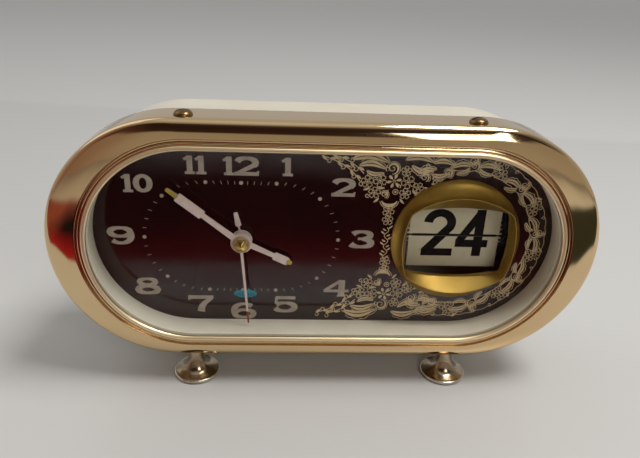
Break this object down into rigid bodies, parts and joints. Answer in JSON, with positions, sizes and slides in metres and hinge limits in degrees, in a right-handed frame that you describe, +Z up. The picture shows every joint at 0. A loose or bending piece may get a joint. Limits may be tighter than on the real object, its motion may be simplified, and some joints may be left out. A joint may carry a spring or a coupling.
{
  "type": "desk clock with alarm and flip calendar",
  "caption": "Wind-up desk clock: racetrack-shaped case with a polished bezel, dark dial with hands, alarm hand and flip calendar window, on trumpet-shaped feet.",
  "frame": {"origin": "on the table, under the middle of the clock's bounding box", "axes": "+X to the right of the reader and along the case, -Y out of the dial towards the reader, +Z up"},
  "size_m": [0.19, 0.0644, 0.1011],
  "materials": {
    "cream": "satin moulded",
    "bezel_gold": "polished, lacquered",
    "ring_gold": "bright polished",
    "frame_gold": "polished",
    "crystal": "clear",
    "dial_black": "gloss lacquer with pale figures and lace print",
    "bronze": "dark nickelled",
    "cover": "satin enamel",
    "hand_pale": "gloss enamel",
    "hand_red": "gloss enamel with a red end",
    "leaf_card": "printed",
    "movement_brass": "satin",
    "movement_steel": "satin",
    "bell_steel": "nickelled",
    "knob_brass": "polished",
    "drum_plastic": "moulded"
  },
  "bodies": {
    "clock_case": {"case_shell": "cream", "bezel": "bezel_gold", "crystal_ring": "ring_gold", "crystal": "crystal", "dial_surround": "cream", "dial_plate": "dial_black", "back_cover": "cover", "back_cover_screws": "movement_steel", "bezel_screws": "bronze", "front_feet": "bronze", "rear_feet": "bronze", "date_frame": "frame_gold", "movement_front_plate": "movement_brass", "movement_rear_plate": "movement_brass", "movement_pillars": "movement_brass", "movement_nuts": "movement_steel", "balance_cock": "movement_brass", "alarm_bell": "bell_steel", "date_plate_left": "movement_steel", "date_plate_right": "movement_steel", "date_cross_bars": "movement_steel", "leaf_catch": "movement_steel"},
    "seconds_work": {"seconds_arbor": "movement_steel", "second_hand": "hand_red", "second_hand_cap": "frame_gold"},
    "centre_work": {"centre_wheel": "movement_brass"},
    "third_work": {"third_wheel": "movement_brass"},
    "escape_work": {"escape_wheel": "movement_brass"},
    "going_barrel": {"time_barrel": "movement_brass"},
    "lever": {"pallet_lever": "movement_steel"},
    "balance": {"balance_wheel": "movement_brass", "balance_spring": "movement_steel"},
    "regulator": {"regulator_lever": "movement_steel"},
    "minute_work": {"centre_arbor": "movement_brass", "minute_hand": "hand_pale"},
    "minute_wheel_work": {"minute_wheel": "movement_brass"},
    "hour_work": {"hour_wheel": "movement_brass", "hour_hand": "hand_pale"},
    "alarm_work": {"alarm_wheel": "movement_brass", "alarm_hand": "hand_pale"},
    "alarm_spring_barrel": {"alarm_barrel": "movement_brass"},
    "time_winding": {"time_winding_arbor": "movement_steel", "time_winding_key": "knob_brass"},
    "alarm_winding": {"alarm_winding_arbor": "movement_steel", "alarm_winding_key": "knob_brass"},
    "time_setting": {"time_set_arbor": "movement_steel", "time_set_knob": "knob_brass"},
    "alarm_setting": {"alarm_set_arbor": "movement_steel", "alarm_set_knob": "knob_brass"},
    "alarm_stop": {"alarm_stop_button": "knob_brass"},
    "hammer": {"alarm_hammer": "movement_steel"},
    "date_drum_work": {"date_drum": "drum_plastic", "date_shaft": "movement_steel", "date_ratchet": "drum_plastic", "date_leaves": "leaf_card", "date_leaf_lower": "leaf_card"},
    "falling_leaf": {"date_leaf_upper": "leaf_card"},
    "date_push": {"date_push_rod": "knob_brass", "date_return_spring": "movement_steel"}
  },
  "joints": [
    {"name": "seconds_spin", "type": "hinge", "parent": "clock_case", "child": "seconds_work", "pos_m": [-0.0299, -0.0118, 0.0543], "axis": [0, 1, 0], "continuous": true},
    {"name": "centre_spin", "type": "hinge", "parent": "clock_case", "child": "centre_work", "pos_m": [-0.0299, -0.0118, 0.0543], "axis": [0, 1, 0], "continuous": true},
    {"name": "third_spin", "type": "hinge", "parent": "clock_case", "child": "third_work", "pos_m": [-0.03675, -0.0118, 0.06898], "axis": [0, 1, 0], "continuous": true},
    {"name": "escape_spin", "type": "hinge", "parent": "clock_case", "child": "escape_work", "pos_m": [-0.02187, -0.0118, 0.06153], "axis": [0, 1, 0], "continuous": true},
    {"name": "going_barrel_spin", "type": "hinge", "parent": "clock_case", "child": "going_barrel", "pos_m": [-0.04587, -0.0118, 0.04226], "axis": [0, 1, 0], "continuous": true},
    {"name": "lever_swing", "type": "hinge", "parent": "clock_case", "child": "lever", "pos_m": [-0.01733, 0.0022, 0.06529], "axis": [0, 1, 0], "range_deg": [-2.5, 2.5]},
    {"name": "balance_swing", "type": "hinge", "parent": "clock_case", "child": "balance", "pos_m": [-0.0149, 0.0062, 0.0673], "axis": [0, 1, 0], "range_deg": [-120, 120], "stiffness_Nm_per_rad": 0.00001},
    {"name": "regulator_turn", "type": "hinge", "parent": "clock_case", "child": "regulator", "pos_m": [-0.0149, 0.0102, 0.0673], "axis": [0, 1, 0], "range_deg": [-15, 15]},
    {"name": "minute_spin", "type": "hinge", "parent": "clock_case", "child": "minute_work", "pos_m": [-0.0299, -0.0118, 0.0543], "axis": [0, 1, 0], "continuous": true},
    {"name": "minute_wheel_spin", "type": "hinge", "parent": "clock_case", "child": "minute_wheel_work", "pos_m": [-0.04237, -0.0118, 0.0615], "axis": [0, 1, 0], "continuous": true},
    {"name": "hour_spin", "type": "hinge", "parent": "clock_case", "child": "hour_work", "pos_m": [-0.0299, -0.0118, 0.0543], "axis": [0, 1, 0], "continuous": true},
    {"name": "alarm_hand_spin", "type": "hinge", "parent": "clock_case", "child": "alarm_work", "pos_m": [-0.0299, -0.0118, 0.0543], "axis": [0, 1, 0], "continuous": true},
    {"name": "alarm_barrel_spin", "type": "hinge", "parent": "clock_case", "child": "alarm_spring_barrel", "pos_m": [-0.0149, -0.0118, 0.0403], "axis": [0, 1, 0], "continuous": true},
    {"name": "time_key_turn", "type": "hinge", "parent": "clock_case", "child": "time_winding", "pos_m": [-0.04587, -0.0118, 0.04226], "axis": [0, 1, 0], "continuous": true},
    {"name": "alarm_key_turn", "type": "hinge", "parent": "clock_case", "child": "alarm_winding", "pos_m": [-0.0149, -0.0118, 0.0403], "axis": [0, 1, 0], "continuous": true},
    {"name": "time_knob_turn", "type": "hinge", "parent": "clock_case", "child": "time_setting", "pos_m": [-0.05655, -0.0118, 0.064], "axis": [0, 1, 0], "continuous": true},
    {"name": "alarm_knob_turn", "type": "hinge", "parent": "clock_case", "child": "alarm_setting", "pos_m": [-0.01027, -0.0118, 0.05688], "axis": [0, 1, 0], "continuous": true},
    {"name": "alarm_stop_slide", "type": "slide", "parent": "clock_case", "child": "alarm_stop", "axis": [0, 1, 0], "range_m": [0, 0.003]},
    {"name": "hammer_swing", "type": "hinge", "parent": "clock_case", "child": "hammer", "pos_m": [-0.0084, 0.0062, 0.0428], "axis": [0, 1, 0], "range_deg": [0, 5.5], "stiffness_Nm_per_rad": 0.003, "springref_deg": -5.73},
    {"name": "date_step", "type": "hinge", "parent": "clock_case", "child": "date_drum_work", "pos_m": [0.0473, -0.0068, 0.055], "axis": [1, 0, 0], "range_deg": [0, 11.61]},
    {"name": "leaf_fall", "type": "hinge", "parent": "date_drum_work", "child": "falling_leaf", "pos_m": [0.0473, -0.01476, 0.05581], "axis": [1, 0, 0], "range_deg": [0, 168.5]},
    {"name": "date_push_slide", "type": "slide", "parent": "clock_case", "child": "date_push", "axis": [0, -1, 0], "range_m": [0, 0.00203], "stiffness_N_per_m": 150, "springref_m": -0.001, "deforming": ["date_return_spring"]}
  ],
  "couplings": [
    {"joint": "centre_spin", "follows": "seconds_spin", "ratio": 0.016667},
    {"joint": "third_spin", "follows": "seconds_spin", "ratio": -0.13333},
    {"joint": "escape_spin", "follows": "seconds_spin", "ratio": -6},
    {"joint": "going_barrel_spin", "follows": "seconds_spin", "ratio": -0.0033333},
    {"joint": "minute_wheel_spin", "follows": "minute_spin", "ratio": -0.33333},
    {"joint": "hour_spin", "follows": "minute_spin", "ratio": 0.083333},
    {"joint": "time_knob_turn", "follows": "minute_spin", "ratio": 1},
    {"joint": "alarm_knob_turn", "follows": "alarm_hand_spin", "ratio": -4},
    {"joint": "date_step", "follows": "date_push_slide", "rad_per_m": 100},
    {"joint": "leaf_fall", "follows": "date_push_slide", "rad_per_m": 1450}
  ]
}
